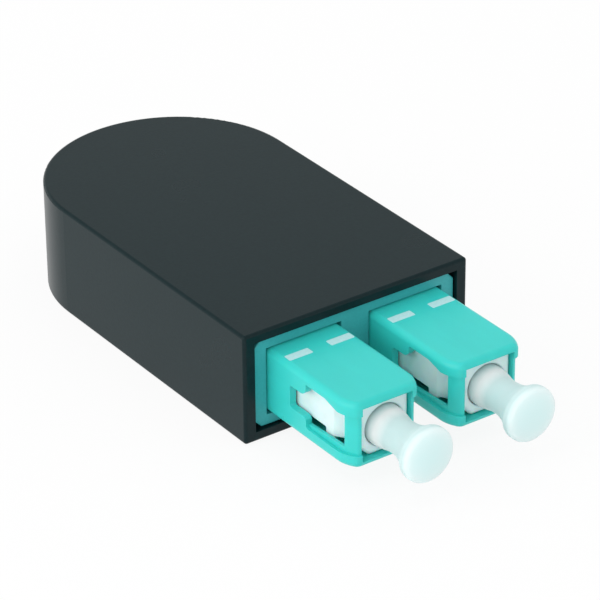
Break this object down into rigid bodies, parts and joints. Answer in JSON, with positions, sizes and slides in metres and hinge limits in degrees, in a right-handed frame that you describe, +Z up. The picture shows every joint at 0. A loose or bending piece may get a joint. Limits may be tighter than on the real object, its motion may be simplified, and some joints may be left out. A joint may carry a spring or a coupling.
{
  "type": "fibre loopback plug",
  "caption": "Duplex fibre loopback plug: black flat case with a round end, aqua push-pull connectors, white plug frames and translucent dust caps, one looped fibre inside.",
  "frame": {"origin": "on the case's underside, under the centre of its round end: x = 0 is the plane of symmetry, z = 0 the underside", "axes": "+Z up, -Y the way the plugs point, +X to the right seen from behind the case"},
  "size_m": [0.0278, 0.0679, 0.0125],
  "materials": {
    "case_black": "fine matt moulded",
    "plate_aqua": "satin moulded",
    "fibre_aqua": "satin buffered fibre",
    "grip_aqua": "satin moulded",
    "frame_white": "satin moulded",
    "cap_translucent": "soft translucent moulded",
    "ceramic": "polished zirconia",
    "flange_metal": "turned",
    "spring_steel": "drawn wire",
    "stop_body_plastic": "moulded",
    "boot_rubber": "matt rubber"
  },
  "bodies": {
    "case": {"case_shell": "case_black", "front_plate": "plate_aqua", "left_outer_housing": "grip_aqua", "right_outer_housing": "grip_aqua", "fibre_loop": "fibre_aqua"},
    "left_plug": {"left_plug_frame": "frame_white", "left_stop_body": "stop_body_plastic", "left_boot": "boot_rubber", "left_spring": "spring_steel"},
    "left_ferrule_unit": {"left_ferrule": "ceramic", "left_ferrule_flange": "flange_metal"},
    "left_cap": {"left_dust_cap": "cap_translucent"},
    "right_plug": {"right_plug_frame": "frame_white", "right_stop_body": "stop_body_plastic", "right_boot": "boot_rubber", "right_spring": "spring_steel"},
    "right_ferrule_unit": {"right_ferrule": "ceramic", "right_ferrule_flange": "flange_metal"},
    "right_cap": {"right_dust_cap": "cap_translucent"}
  },
  "joints": [
    {"name": "left_plug_slide", "type": "slide", "parent": "case", "child": "left_plug", "axis": [0, -1, 0], "range_m": [0, 0.0015]},
    {"name": "left_ferrule_slide", "type": "slide", "parent": "left_plug", "child": "left_ferrule_unit", "axis": [0, 1, 0], "range_m": [0, 0.001], "stiffness_N_per_m": 3000, "springref_m": -0.002, "deforming": ["left_spring"]},
    {"name": "left_cap_pull", "type": "slide", "parent": "left_ferrule_unit", "child": "left_cap", "axis": [0, -1, 0], "range_m": [0, 0.012]},
    {"name": "right_plug_slide", "type": "slide", "parent": "case", "child": "right_plug", "axis": [0, -1, 0], "range_m": [0, 0.0015]},
    {"name": "right_ferrule_slide", "type": "slide", "parent": "right_plug", "child": "right_ferrule_unit", "axis": [0, 1, 0], "range_m": [0, 0.001], "stiffness_N_per_m": 3000, "springref_m": -0.002, "deforming": ["right_spring"]},
    {"name": "right_cap_pull", "type": "slide", "parent": "right_ferrule_unit", "child": "right_cap", "axis": [0, -1, 0], "range_m": [0, 0.012]}
  ]
}
